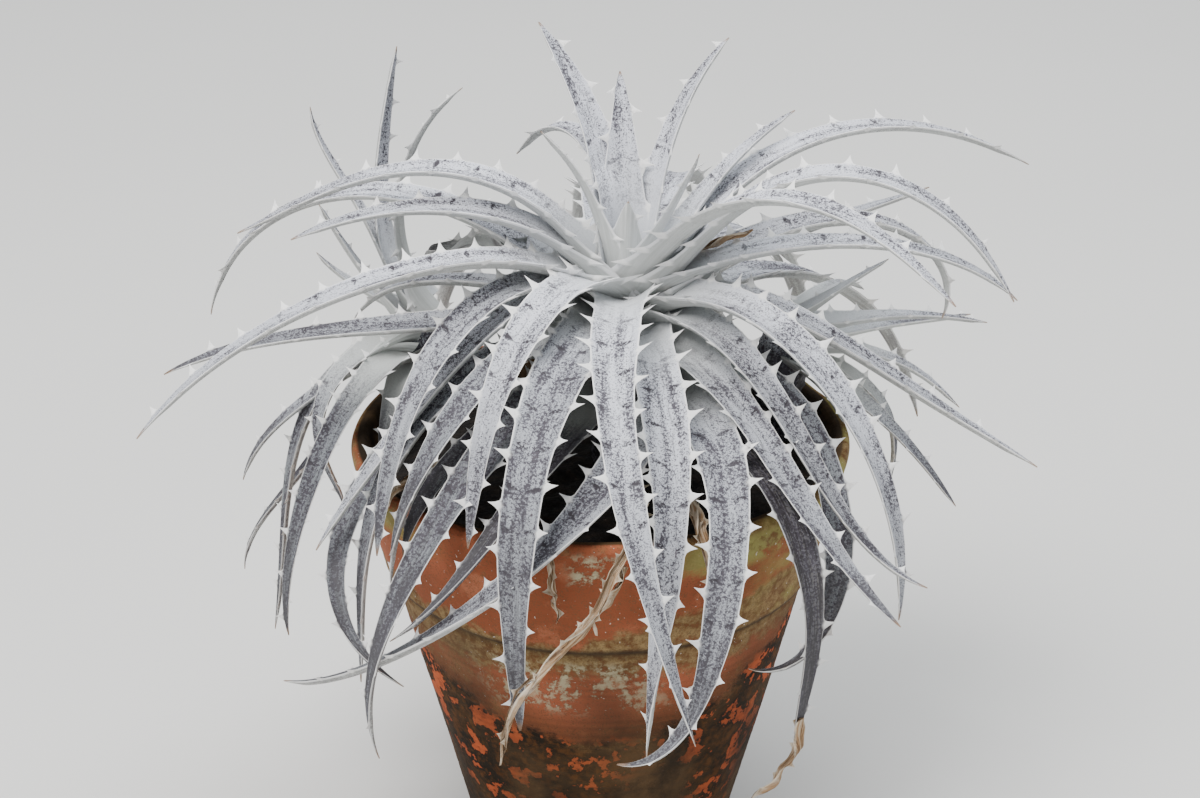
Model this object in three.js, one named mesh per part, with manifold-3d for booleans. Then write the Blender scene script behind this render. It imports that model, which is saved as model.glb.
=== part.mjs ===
// A potted dyckia: one large rosette of toothed, arching leaves with two smaller
// offsets beside it, growing in soil in a rimmed clay pot, with a few dead leaves
// hanging over the rim. Millimetres, +Z up, origin at the centre of the pot's base.
import * as THREE from 'three';
import { mergeVertices } from 'three/addons/utils/BufferGeometryUtils.js';
import Module from 'manifold-3d';

const wasm = await Module();
wasm.setup();

// ---- driving dimensions -----------------------------------------------------

const POT_HEIGHT = 178;
const POT_TOP_RADIUS = 100;
const POT_BASE_RADIUS = 52.5;
const POT_BODY_TOP_RADIUS = 84.4;
const RIM_HEIGHT = 53;
const RIM_LOWER_RADIUS = 86.9;
const POT_WALL = 7.5;
const POT_FLOOR = 10;
const DRAIN_RADIUS = 9;
const POT_SIDES = 52;

const SOIL_EDGE_HEIGHT = 163;
const SOIL_CROWN_HEIGHT = 167;
const STEM_FOOT = 148;
const GAP = 0.3;

// Each rosette: where its stem stands, the height of its growing point and the
// stem's radius there. Down to the lowest leaf root the stem widens by STEM_FLARE
// per mm, then it narrows to its foot in the soil.
const ROSETTES = {
  main: { x: 10, y: 0, top: 250, radius: 4, lowest: 206, foot: 13 },
  left: { x: -70, y: 36, top: 218, radius: 3, lowest: 191, foot: 5.5 },
  right: { x: 72, y: 26, top: 218, radius: 3, lowest: 193, foot: 6.5 },
};
const STEM_FLARE = 0.3;

// A leaf blade is this thick along its keel, as a share of its width.
const KEEL_SHARE = 0.13;
const KEEL_LEAST = 0.9;
// The margins stand this share of the width above the middle of the upper face.
const CHANNEL_SHARE = 0.08;
// A blade narrows to this share of its width at its root, over this length.
const ROOT_SHARE = 0.42;
const ROOT_LENGTH = 34;

// Marginal teeth: their spacing, how far they stand out, how wide they are where
// they leave the margin, and how far their points lean back towards the stem.
const TOOTH_SPACING = 14;
const TOOTH_LENGTH = 5;
const TOOTH_ROOT = 5;
const TOOTH_LEAN = 0.8;
// Where the first tooth of each margin and the first station of the blade's middle
// line stand, as shares of the spacing.
const RIGHT_PHASE = 0.8;
const LEFT_PHASE = 0.3;
const MIDDLE_PHASE = 0.55;
// The clasping root of a leaf is smooth over this length.
const SMOOTH_LENGTH = 30;

// ---- leaves -----------------------------------------------------------------

// Heading is the compass bearing of a leaf's root, in degrees: 0 points at -Y and
// 90 at +X. Turn and curl change the bearing along the leaf, by turn * s and by
// curl * s^3. Root is the height of the root. The four slopes are the leaf's
// elevations in degrees at its root, a third, two thirds and its tip.
// name, heading, turn, curl, root, length, four slopes, width
const HEART_LEAVES = [
  ['heart_1', -140, 0, 0, 246, 106, 85, 74, 52, 35, 22],
  ['heart_2', -175, 0, 0, 246, 80, 86, 80, 62, 40, 20],
  ['heart_3', 128, 0, 0, 245, 102, 78, 74, 56, 30, 17],
  ['heart_4', -70, 0, 0, 248, 70, 76, 72, 58, 45, 12],
  ['heart_5', 55, 0, 0, 249, 62, 62, 60, 62, 64, 9],
  ['heart_6', 5, 0, 0, 251, 40, 86, 84, 80, 75, 9],
  ['heart_7', 112, 0, 0, 241, 92, 56, 52, 40, 22, 15],
  ['heart_8', -138, 0, 0, 240, 112, 84, 74, -5, -46, 17],
];

const LEAVES = [
  ['leaf_right_high_1', 106, 0, 0, 238, 188, 60, 31, -6, -33, 20],
  ['leaf_right_high_2', 73, 0, 0, 238, 186, 47, 36, -18, -62, 21],
  ['leaf_right_high_3', 51, 0, 0, 243, 172, 60, 31, -8, -36, 20],
  ['leaf_right_high_4', 99, 0, 0, 231, 158, 43, 20, -22, -114, 22],
  ['leaf_right_high_5', 78, 0, 0, 237, 156, 46, 15, -4, -45, 18],
  ['leaf_right_high_6', 116, 0, 0, 229, 132, 34, 14, 8, 8, 17],
  ['leaf_right_1', 72, 0, 0, 230, 172, 50, -18, -28, -29, 21],
  ['leaf_right_2', 52, 0, 0, 231, 198, 50, -20, -62, -95, 21],
  ['leaf_right_3', 45, 0, 20, 229, 170, 42, -31, -50, -8, 18],
  ['leaf_right_4', 36, 9, 0, 225, 166, 17, -27, -38, -25, 19],
  ['leaf_right_5', 65, -30, -165, 219, 190, 9, -36, -58, 0, 19],
  ['leaf_front_1', -4, 0, 100, 238, 222, 30, -24, -58, -74, 19],
  ['leaf_front_2', 12, 0, -115, 228, 202, 22, -36, -73, -88, 20],
  ['leaf_front_3', -18, -8, 20, 230, 219, 33, -26, -74, -114, 24],
  ['leaf_front_4', 17, -197, 31, 202, 254, 22, -29, -36, -22, 20],
  ['leaf_front_5', 29, -32, -120, 208, 208, 5, -24, -66, -4, 22],
  ['leaf_front_6', 36, 0, 0, 202, 194, 6, -24, -84, -92, 19],
  ['leaf_front_7', -32, 0, 0, 238, 157, 54, -12, -60, -76, 20],
  ['leaf_front_8', -58, 0, 0, 238, 168, 50, -29, -46, -54, 20],
  ['leaf_front_9', -55, -7, 0, 221, 200, 20, -27, -74, -88, 19],
  ['leaf_front_10', -34, -10, -48, 219, 211, 12, -28, -57, -112, 20],
  ['leaf_front_11', -22, -10, -75, 203, 150, -2, -14, -38, -40, 16],
  ['leaf_front_12', -62, 28, 21, 236, 170, 50, -15, -53, -79, 19],
  ['leaf_front_13', -46, 19, -79, 221, 160, 37, -14, -54, -96, 18],
  ['leaf_front_14', -54, 20, 0, 208, 116, 8, -14, -26, -82, 17],
  ['leaf_left_1', -90, 0, 0, 241, 170, 64, 27, -15, -26, 20],
  ['leaf_left_2', -63, 0, 0, 237, 214, 50, 4, -19, -47, 21],
  ['leaf_left_3', -82, 0, 0, 239, 138, 66, 24, -2, -24, 22],
  ['leaf_left_4', -99, 0, 0, 230, 200, 48, 20, -24, -82, 20],
  ['leaf_left_5', -78, 0, 0, 226, 172, 14, 2, -4, -26, 19],
  ['leaf_left_6', -95, 0, 0, 229, 108, 34, 8, -10, -70, 17],
  ['leaf_left_7', -71, 0, 185, 217, 203, 20, -32, -44, -44, 17],
  ['leaf_back_1', 165, 0, 0, 232, 180, 42, 6, -39, -69, 20],
  ['leaf_back_2', -172, 0, 0, 230, 188, 40, 0, -43, -72, 20],
  ['leaf_back_3', 148, 0, 0, 226, 196, 32, -9, -51, -78, 21],
  ['leaf_back_4', -148, 0, 0, 226, 196, 36, -9, -49, -76, 21],
  ['leaf_back_5', 178, 0, 0, 221, 202, 20, -24, -63, -87, 21],
  ['leaf_back_6', -160, 0, 0, 217, 205, 14, -30, -66, -88, 21],
  ['leaf_back_7', 130, 0, 0, 222, 205, 22, -14, -48, -72, 20],
  ['leaf_back_8', 158, 0, 0, 214, 198, 4, -30, -67, -87, 20],
];

const LEFT_OFFSET_LEAVES = [
  ['left_1', -117, 0, 0, 216, 115, 39, 84, 98, 102, 13],
  ['left_2', 89, 0, 0, 215, 108, 134, 96, 68, 33, 13],
  ['left_3', -104, 0, 0, 213, 96, 54, 65, 59, 87, 10],
  ['left_4', -86, 0, 0, 204, 69, 69, 56, 60, 59, 10],
  ['left_5', -107, 0, 0, 208, 50, 59, 26, 29, 44, 9],
  ['left_6', -60, 0, 0, 207, 102, -6, -38, -97, -102, 12],
  ['left_7', -76, 0, 0, 206, 95, -27, -29, -40, -79, 12],
  ['left_8', -71, 0, 0, 200, 152, 19, -60, -83, -82, 13],
  ['left_9', -36, 0, 0, 199, 143, 24, -38, -62, -102, 13],
  ['left_10', -82, 0, 0, 205, 129, -13, -61, -50, -94, 12],
  ['left_11', -25, 0, 0, 198, 50, 8, -36, -60, -70, 9],
];

const RIGHT_OFFSET_LEAVES = [
  ['right_1', 90, 0, 0, 214, 48, 38, 38, 34, 30, 7],
  ['right_2', 92, 0, 0, 209, 80, 20, 8, -3, -13, 12],
  ['right_3', 106, 0, 0, 202, 76, 18, 6, 0, 2, 11],
  ['right_4', 72, 0, 0, 203, 74, 18, 0, -26, -46, 11],
  ['right_5', 40, 0, 0, 200, 36, 0, -20, -40, -60, 9],
  ['right_6', 58, 0, 0, 198, 88, -5, -25, -40, -50, 11],
  ['right_7', 74, 0, 0, 195, 82, 16, -34, -84, -100, 10],
  ['right_8', 140, 0, 0, 206, 60, 50, 20, -14, -40, 10],
];

// Dead leaves start from a point of their own on the soil, inside the rim.
// name, x, y, heading, turn, curl, root, length, four slopes, width
const DEAD_LEAVES = [
  ['dead_leaf_right', 26, -68, 26, 0, -130, 183, 98, 18, -36, -92, -20, 8],
  ['dead_leaf_front', 3, -61, 52, -247, 150, 186, 149, 60, -42, -44, -95, 8],
  ['dead_leaf_left', -54, -46, -57, 0, 0, 186, 38, 3, 0, -24, -60, 8],
];

const rad = THREE.MathUtils.degToRad;

// The smooth cubic through four values spaced evenly along the leaf.
function throughFour(values, s) {
  const t = 3 * s;
  return (
    (values[0] * (1 - t) * (2 - t) * (3 - t)) / 6 +
    (values[1] * t * (2 - t) * (3 - t)) / 2 -
    (values[2] * t * (1 - t) * (3 - t)) / 2 +
    (values[3] * t * (1 - t) * (2 - t)) / 6
  );
}

// The leaf's middle line: at share s of its length it gives the point, the way
// along, the way across to the right and the way up out of the upper face.
function leafLine(leaf) {
  const { heading, turn, curl, slopes, length, root } = leaf;
  const frameAt = (s) => {
    const bearing = rad(heading + turn * s + curl * s ** 3);
    const slope = rad(throughFour(slopes, s));
    const along = new THREE.Vector3(
      Math.cos(slope) * Math.sin(bearing),
      -Math.cos(slope) * Math.cos(bearing),
      Math.sin(slope),
    );
    const across = new THREE.Vector3(Math.cos(bearing), Math.sin(bearing), 0);
    return { along, across, up: along.clone().cross(across) };
  };
  const steps = 96;
  const points = [root.clone()];
  for (let i = 0; i < steps; i += 1) {
    const middle = frameAt((i + 0.5) / steps).along;
    points.push(points[i].clone().addScaledVector(middle, length / steps));
  }
  return (s) => {
    const place = Math.min(Math.max(s, 0), 1) * steps;
    const i = Math.min(Math.floor(place), steps - 1);
    const point = points[i].clone().lerp(points[i + 1], place - i);
    return { point, ...frameAt(s) };
  };
}

// Half the blade's width at share s of its length.
function halfWidth(leaf, s) {
  const reach = Math.min((s * leaf.length) / ROOT_LENGTH, 1);
  const rootShare = ROOT_SHARE + (1 - ROOT_SHARE) * reach * reach * (3 - 2 * reach);
  return 0.56 * leaf.width * rootShare * (1 - s) ** 0.75;
}

// A leaf's teeth, as shares of its length: their spacing, how wide they are at the
// margin and how far they lean. Small leaves have smaller teeth, closer together.
function toothMeasures({ length, width }) {
  const size = Math.min(width / 20, 1) ** 0.7;
  return {
    size,
    spacing: (TOOTH_SPACING * (0.45 + 0.55 * size)) / length,
    root: (TOOTH_ROOT * size) / length,
    lean: (TOOTH_LEAN * size) / length,
  };
}

// Where the margin runs between two shares of the length: [share, tooth height].
function marginStations(leaf, from, to, phase) {
  const { size, spacing, root, lean } = toothMeasures(leaf);
  const stations = [[from, 0]];
  for (let s = phase * spacing; s + root <= Math.min(to, 0.96); s += spacing) {
    if (s - root < from) continue;
    if (s * leaf.length < SMOOTH_LENGTH) {
      stations.push([s, 0]);
    } else {
      const height = TOOTH_LENGTH * size * (1 - 0.45 * s);
      stations.push([s - root / 2, 0], [s - lean, height], [s + root / 2, 0]);
    }
  }
  if (to < 1) stations.push([to, 0]);
  return stations;
}

// Where the middle of the blade has a station: one between each pair of teeth.
function middleStations(leaf, from, end) {
  const { spacing } = toothMeasures(leaf);
  const stations = [from];
  for (let s = MIDDLE_PHASE * spacing; s < end - 0.3 * spacing; s += spacing) {
    if (s > from + 0.3 * spacing) stations.push(s);
  }
  return [...stations, end];
}

// Triangles between two rows of points, in the order of their keys along the leaf.
function stitch(faces, rowA, rowB) {
  let i = 0;
  let j = 0;
  while (i < rowA.length - 1 || j < rowB.length - 1) {
    const nextA = i < rowA.length - 1 ? rowA[i + 1].key : Infinity;
    const nextB = j < rowB.length - 1 ? rowB[j + 1].key : Infinity;
    if (nextA <= nextB) {
      faces.push(rowA[i].id, rowB[j].id, rowA[i + 1].id);
      i += 1;
    } else {
      faces.push(rowA[i].id, rowB[j].id, rowB[j + 1].id);
      j += 1;
    }
  }
}

// One leaf between two shares of its length, as a closed blade: a channelled
// upper face, a keeled lower face and toothed margins, ending in a point.
function bladeGeometry(leaf, from, to) {
  const lineAt = leafLine(leaf);
  const positions = [];
  const add = (s, side, up) => {
    const { point, across, up: normal } = lineAt(s);
    point.addScaledVector(across, side).addScaledVector(normal, up);
    positions.push(point.x, point.y, point.z);
    return { key: s, id: positions.length / 3 - 1 };
  };
  const end = Math.min(to, 0.995);
  const keel = (s) => KEEL_LEAST + KEEL_SHARE * 2 * halfWidth(leaf, s);
  const middles = middleStations(leaf, from, end);
  const upper = middles.map((s) => add(s, 0, 0));
  const lower = middles.map((s) => add(s, 0, -keel(s) * (s > 0.98 ? 0.6 : 1)));
  const margin = (sign, phase) =>
    marginStations(leaf, from, to < 1 ? to : end, phase).map(([s, height]) => {
      const half = halfWidth(leaf, s) + height;
      return add(s, sign * half, 2 * CHANNEL_SHARE * half - keel(s) * 0.15);
    });
  const right = margin(1, RIGHT_PHASE);
  const left = margin(-1, LEFT_PHASE);
  if (to === 1) {
    const tip = add(1, 0, -0.3);
    [upper, lower, left, right].forEach((row) => row.push(tip));
  }
  // A middle station meets both flanks of the tooth beside it, so in the order
  // along that margin it comes just before the tooth's point.
  const { spacing, lean } = toothMeasures(leaf);
  const beside = (row, phase) =>
    row.map(({ key, id }, i) => {
      const paired = i > 0 && i < middles.length - 1;
      const shift = (phase - MIDDLE_PHASE) * spacing - 1.1 * lean;
      return { id, key: paired ? key + shift : key };
    });
  const faces = [];
  stitch(faces, beside(upper, LEFT_PHASE), left);
  stitch(faces, right, beside(upper, RIGHT_PHASE));
  stitch(faces, left, beside(lower, LEFT_PHASE));
  stitch(faces, beside(lower, RIGHT_PHASE), right);
  const [a, b, c, d] = [upper, left, lower, right].map((row) => row[0].id);
  faces.push(a, d, c, a, c, b);
  if (to < 1) {
    const [e, f, g, h] = [upper, left, lower, right].map((row) => row.at(-1).id);
    faces.push(e, f, g, e, g, h);
  }
  const kept = [];
  for (let i = 0; i < faces.length; i += 3) {
    const [p, q, r] = faces.slice(i, i + 3);
    if (p !== q && q !== r && r !== p) kept.push(p, q, r);
  }
  const geometry = new THREE.BufferGeometry();
  geometry.setAttribute('position', new THREE.Float32BufferAttribute(positions, 3));
  geometry.setIndex(kept);
  return geometry;
}

// ---- joining and cutting ----------------------------------------------------

function solidFrom(geometry) {
  const bare = new THREE.BufferGeometry();
  bare.setAttribute('position', geometry.getAttribute('position').clone());
  if (geometry.index) bare.setIndex(geometry.index.clone());
  const merged = mergeVertices(bare, 1e-3);
  return new wasm.Manifold(
    new wasm.Mesh({
      numProp: 3,
      vertProperties: new Float32Array(merged.getAttribute('position').array),
      triVerts: new Uint32Array(merged.index.array),
    }),
  );
}

function geometryFrom(solid) {
  const mesh = solid.getMesh();
  const geometry = new THREE.BufferGeometry();
  const positions = new Float32Array(mesh.numVert * 3);
  for (let i = 0; i < mesh.numVert; i += 1) {
    for (let k = 0; k < 3; k += 1) {
      positions[3 * i + k] = mesh.vertProperties[i * mesh.numProp + k];
    }
  }
  geometry.setAttribute('position', new THREE.BufferAttribute(positions, 3));
  geometry.setIndex(new THREE.BufferAttribute(new Uint32Array(mesh.triVerts), 1));
  return geometry;
}

function lathe(profile, sides, x = 0, y = 0) {
  const points = profile.map(([radius, z]) => new THREE.Vector2(radius, z));
  const geometry = new THREE.LatheGeometry(points, sides);
  geometry.rotateX(Math.PI / 2);
  geometry.translate(x, y, 0);
  return geometry;
}

// ---- rosettes ---------------------------------------------------------------

function leafFrom(row, rosette) {
  const [name, heading, turn, curl, root, length, a, b, c, d, width] = row;
  const away = rosette.radius + (rosette.top - root) * STEM_FLARE;
  const x = rosette.x + away * Math.sin(rad(heading));
  const y = rosette.y - away * Math.cos(rad(heading));
  const leaf = { name, heading, turn, curl, length, width, slopes: [a, b, c, d] };
  return { ...leaf, root: new THREE.Vector3(x, y, root) };
}

// A stem from its foot in the soil up to its rounded growing point, a little
// wider than the circle that the leaf roots stand on.
function stemProfile(rosette) {
  const at = (z) => rosette.radius + (rosette.top - z) * STEM_FLARE + 1.2;
  return [
    [0, STEM_FOOT],
    [rosette.foot, STEM_FOOT],
    [rosette.foot, SOIL_CROWN_HEIGHT + 8],
    [at(rosette.lowest), rosette.lowest],
    [at(rosette.top - 4), rosette.top - 4],
    [0, rosette.top + 3],
  ];
}

// Everything fused to the rosette's stem. Hollows sealed in among the packed leaf
// roots are filled by keeping only the outer skin.
function fuse(rosette, pieces) {
  const stem = solidFrom(lathe(stemProfile(rosette), 14, rosette.x, rosette.y));
  const body = pieces.reduce((whole, piece) => whole.add(solidFrom(piece)), stem);
  const skins = body.decompose();
  return skins.reduce((most, skin) => (skin.volume() > most.volume() ? skin : most));
}

const crown = ROSETTES.main;
const leaves = LEAVES.map((row) => leafFrom(row, crown));
const cutShare = (leaf) => ROOT_LENGTH / leaf.length;

// The crown: stem, young upright leaves and the packed roots of all the others.
const crownBody = fuse(crown, [
  ...HEART_LEAVES.map((row) => bladeGeometry(leafFrom(row, crown), 0, 1)),
  ...leaves.map((leaf) => bladeGeometry(leaf, 0, cutShare(leaf) - GAP / leaf.length)),
]);

const offsetBody = (rosette, rows) =>
  fuse(rosette, rows.map((row) => bladeGeometry(leafFrom(row, rosette), 0, 1)));

const deadLeaves = DEAD_LEAVES.map(([name, x, y, heading, turn, curl, z, ...rest]) => {
  const [length, a, b, c, d, width] = rest;
  const root = new THREE.Vector3(x, y, z);
  return { name, heading, turn, curl, length, width, slopes: [a, b, c, d], root };
});

// ---- pot and soil -----------------------------------------------------------

const rimFoot = POT_HEIGHT - RIM_HEIGHT;
const bodySlope = (POT_BODY_TOP_RADIUS - POT_BASE_RADIUS) / rimFoot;
const rimSlope = (POT_TOP_RADIUS - RIM_LOWER_RADIUS) / RIM_HEIGHT;
const innerRadius = (z) =>
  z > rimFoot
    ? RIM_LOWER_RADIUS + (z - rimFoot) * rimSlope - POT_WALL
    : POT_BASE_RADIUS + z * bodySlope - POT_WALL +
      ((RIM_LOWER_RADIUS - POT_BODY_TOP_RADIUS) * z) / rimFoot;

const potProfile = [
  [DRAIN_RADIUS, 0],
  [POT_BASE_RADIUS - 1.5, 0],
  [POT_BASE_RADIUS, 1.5],
  [POT_BODY_TOP_RADIUS, rimFoot],
  [RIM_LOWER_RADIUS - 1.2, rimFoot],
  [RIM_LOWER_RADIUS, rimFoot + 1.5],
  [POT_TOP_RADIUS - 0.5, POT_HEIGHT - 2.5],
  [POT_TOP_RADIUS - 1, POT_HEIGHT - 0.8],
  [POT_TOP_RADIUS - 2.8, POT_HEIGHT],
  [innerRadius(POT_HEIGHT) + 2, POT_HEIGHT],
  [innerRadius(POT_HEIGHT), POT_HEIGHT - 2],
  [innerRadius(rimFoot), rimFoot],
  [innerRadius(POT_FLOOR) - 3, POT_FLOOR + 1.5],
  [innerRadius(POT_FLOOR) - 6, POT_FLOOR],
  [DRAIN_RADIUS, POT_FLOOR],
  [DRAIN_RADIUS, 0],
];

const soilProfile = [
  [0, POT_FLOOR + GAP],
  [innerRadius(POT_FLOOR) - 6 - GAP, POT_FLOOR + GAP],
  [innerRadius(POT_FLOOR) - 3 - GAP, POT_FLOOR + 1.5 + GAP],
  [innerRadius(rimFoot) - GAP, rimFoot],
  [innerRadius(SOIL_EDGE_HEIGHT) - GAP, SOIL_EDGE_HEIGHT],
  [innerRadius(SOIL_EDGE_HEIGHT) - 30, SOIL_EDGE_HEIGHT + 2],
  [0, SOIL_CROWN_HEIGHT],
];

// Each stem stands in a plain hole in the soil.
const soilBody = Object.values(ROSETTES).reduce((soil, { x, y, foot }) => {
  const profile = [
    [0, STEM_FOOT - GAP],
    [foot + GAP, STEM_FOOT - GAP],
    [foot + GAP, SOIL_CROWN_HEIGHT + 20],
    [0, SOIL_CROWN_HEIGHT + 20],
  ];
  return soil.subtract(solidFrom(lathe(profile, 14, x, y)));
}, solidFrom(lathe(soilProfile, POT_SIDES)));

// ---- the group --------------------------------------------------------------

const material = (color, roughness) =>
  new THREE.MeshStandardMaterial({ color, roughness, metalness: 0 });

const part = new THREE.Group();
part.name = 'potted_dyckia';

function place(name, geometry, color, roughness) {
  const flat = geometry.index ? geometry.toNonIndexed() : geometry;
  flat.computeVertexNormals();
  const mesh = new THREE.Mesh(flat, material(color, roughness));
  mesh.name = name;
  part.add(mesh);
}

place('pot', lathe(potProfile, POT_SIDES), 0xa3573a, 0.9);
place('soil', geometryFrom(soilBody), 0x241a14, 1);
place('crown', geometryFrom(crownBody), 0xc9cacb, 0.7);
for (const leaf of leaves) {
  const blade = bladeGeometry(leaf, cutShare(leaf) + GAP / leaf.length, 1);
  place(leaf.name, blade, 0xb6b8bc, 0.75);
}
place(
  'offset_left',
  geometryFrom(offsetBody(ROSETTES.left, LEFT_OFFSET_LEAVES)),
  0xb9babd,
  0.75,
);
place(
  'offset_right',
  geometryFrom(offsetBody(ROSETTES.right, RIGHT_OFFSET_LEAVES)),
  0xc2c3c5,
  0.75,
);
for (const leaf of deadLeaves) {
  place(leaf.name, bladeGeometry(leaf, 0, 1), 0xb98f6a, 0.85);
}

export default part;
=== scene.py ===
"""A potted dyckia: silver toothed leaves arching out of one large and two small
rosettes, over a weathered clay pot with dark soil and a few dead leaves."""
import math

import bpy
import numpy as np
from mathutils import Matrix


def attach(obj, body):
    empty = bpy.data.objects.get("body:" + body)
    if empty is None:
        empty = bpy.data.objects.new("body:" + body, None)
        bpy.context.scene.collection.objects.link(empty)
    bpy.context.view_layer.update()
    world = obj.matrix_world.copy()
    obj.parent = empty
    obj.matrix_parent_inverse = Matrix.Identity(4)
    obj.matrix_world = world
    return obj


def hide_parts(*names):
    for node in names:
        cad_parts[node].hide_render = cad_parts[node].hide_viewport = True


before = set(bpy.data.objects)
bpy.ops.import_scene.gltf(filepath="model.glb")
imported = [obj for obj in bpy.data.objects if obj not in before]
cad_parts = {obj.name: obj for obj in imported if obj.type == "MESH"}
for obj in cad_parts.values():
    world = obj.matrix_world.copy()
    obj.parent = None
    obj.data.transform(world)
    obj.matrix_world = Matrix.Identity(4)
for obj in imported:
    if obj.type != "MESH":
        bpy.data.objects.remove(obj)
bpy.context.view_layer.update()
scene = bpy.context.scene

MM = 0.001
ANY_PHASE = 6.28  # the pot's and soil's random angles run from 0 to this

# ---- the plant's growth, in millimetres and degrees --------------------------

# Rosette: middle x and y, height of the growing point, stem radius there, height of
# the lowest leaf and radius of the stem's foot.
ROSETTES = {
    "main": (10, 0, 250, 4, 206, 13),
    "left": (-70, 36, 218, 3, 191, 5.5),
    "right": (72, 26, 218, 3, 193, 6.5),
}
STEM_FLARE = 0.3
STEM_ROOT = 155
STEM_STATIONS = 90
STEM_SIDES = 48

# name: heading, turn, curl, root height, length, four slopes, width, age.
# Heading 0 points at -Y and 90 at +X; turn * s and curl * s^3 are added along the
# leaf. The slopes are elevations at the root, a third, two thirds and the tip.
# Age runs from 0, silver white, to 1, dark and rubbed bare.
LEAVES = {
    "leaf_right_high_1": (106, 0, 0, 238, 188, 60, 31, -6, -33, 20, 0.05),
    "leaf_right_high_2": (73, 0, 0, 238, 186, 47, 36, -18, -62, 21, 0.05),
    "leaf_right_high_3": (51, 0, 0, 243, 172, 60, 31, -8, -36, 20, 0.0),
    "leaf_right_high_4": (99, 0, 0, 231, 158, 43, 20, -22, -114, 22, 0.1),
    "leaf_right_high_5": (78, 0, 0, 237, 156, 46, 15, -4, -45, 18, 0.05),
    "leaf_right_high_6": (116, 0, 0, 229, 132, 34, 14, 8, 8, 17, 0.1),
    "leaf_right_1": (72, 0, 0, 230, 172, 50, -18, -28, -29, 21, 0.1),
    "leaf_right_2": (52, 0, 0, 231, 198, 50, -20, -62, -95, 21, 0.1),
    "leaf_right_3": (45, 0, 20, 229, 170, 42, -31, -50, -8, 18, 0.2),
    "leaf_right_4": (36, 9, 0, 225, 166, 17, -27, -38, -25, 19, 0.25),
    "leaf_right_5": (65, -30, -165, 219, 190, 9, -36, -58, 0, 19, 0.45),
    "leaf_front_1": (-4, 0, 100, 238, 222, 30, -24, -58, -74, 19, 0.15),
    "leaf_front_2": (12, 0, -115, 228, 202, 22, -36, -73, -88, 20, 0.12),
    "leaf_front_3": (-18, -8, 20, 230, 219, 33, -26, -74, -114, 24, 0.35),
    "leaf_front_4": (17, -197, 31, 202, 254, 22, -29, -36, -22, 20, 0.35),
    "leaf_front_5": (29, -32, -120, 208, 208, 5, -24, -66, -4, 22, 0.32),
    "leaf_front_6": (36, 0, 0, 202, 194, 6, -24, -84, -92, 19, 1.0),
    "leaf_front_7": (-32, 0, 0, 238, 157, 54, -12, -60, -76, 20, 0.1),
    "leaf_front_8": (-58, 0, 0, 238, 168, 50, -29, -46, -54, 20, 0.1),
    "leaf_front_9": (-55, -7, 0, 221, 200, 20, -27, -74, -88, 19, 0.35),
    "leaf_front_10": (-34, -10, -48, 219, 211, 12, -28, -57, -112, 20, 0.6),
    "leaf_front_11": (-22, -10, -75, 203, 150, -2, -14, -38, -40, 16, 0.95),
    "leaf_front_12": (-62, 28, 21, 236, 170, 50, -15, -53, -79, 19, 0.25),
    "leaf_front_13": (-46, 19, -79, 221, 160, 37, -14, -54, -96, 18, 0.4),
    "leaf_front_14": (-54, 20, 0, 208, 116, 8, -14, -26, -82, 17, 0.7),
    "leaf_left_1": (-90, 0, 0, 241, 170, 64, 27, -15, -26, 20, 0.05),
    "leaf_left_2": (-63, 0, 0, 237, 214, 50, 4, -19, -47, 21, 0.1),
    "leaf_left_3": (-82, 0, 0, 239, 138, 66, 24, -2, -24, 22, 0.05),
    "leaf_left_4": (-99, 0, 0, 230, 200, 48, 20, -24, -82, 20, 0.1),
    "leaf_left_5": (-78, 0, 0, 226, 172, 14, 2, -4, -26, 19, 0.3),
    "leaf_left_6": (-95, 0, 0, 229, 108, 34, 8, -10, -70, 17, 0.15),
    "leaf_left_7": (-71, 0, 185, 217, 203, 20, -32, -44, -44, 17, 0.5),
    "leaf_back_1": (165, 0, 0, 232, 180, 42, 6, -39, -69, 20, 0.1),
    "leaf_back_2": (-172, 0, 0, 230, 188, 40, 0, -43, -72, 20, 0.1),
    "leaf_back_3": (148, 0, 0, 226, 196, 32, -9, -51, -78, 21, 0.2),
    "leaf_back_4": (-148, 0, 0, 226, 196, 36, -9, -49, -76, 21, 0.2),
    "leaf_back_5": (178, 0, 0, 221, 202, 20, -24, -63, -87, 21, 0.35),
    "leaf_back_6": (-160, 0, 0, 217, 205, 14, -30, -66, -88, 21, 0.45),
    "leaf_back_7": (130, 0, 0, 222, 205, 22, -14, -48, -72, 20, 0.3),
    "leaf_back_8": (158, 0, 0, 214, 198, 4, -30, -67, -87, 20, 0.55),
}
HEART_LEAVES = {
    "heart_1": (-140, 0, 0, 246, 106, 85, 74, 52, 35, 22, 0.0),
    "heart_2": (-175, 0, 0, 246, 80, 86, 80, 62, 40, 20, 0.0),
    "heart_3": (128, 0, 0, 245, 102, 78, 74, 56, 30, 17, 0.0),
    "heart_4": (-70, 0, 0, 248, 70, 76, 72, 58, 45, 12, 0.0),
    "heart_5": (55, 0, 0, 249, 62, 62, 60, 62, 64, 9, 0.0),
    "heart_6": (5, 0, 0, 249, 31, 78, 84, 84, 80, 15, 0.0),
    "heart_7": (112, 0, 0, 241, 92, 56, 52, 40, 22, 15, 0.0),
    "heart_8": (-138, 0, 0, 240, 112, 84, 74, -5, -46, 17, 0.0),
}
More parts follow.
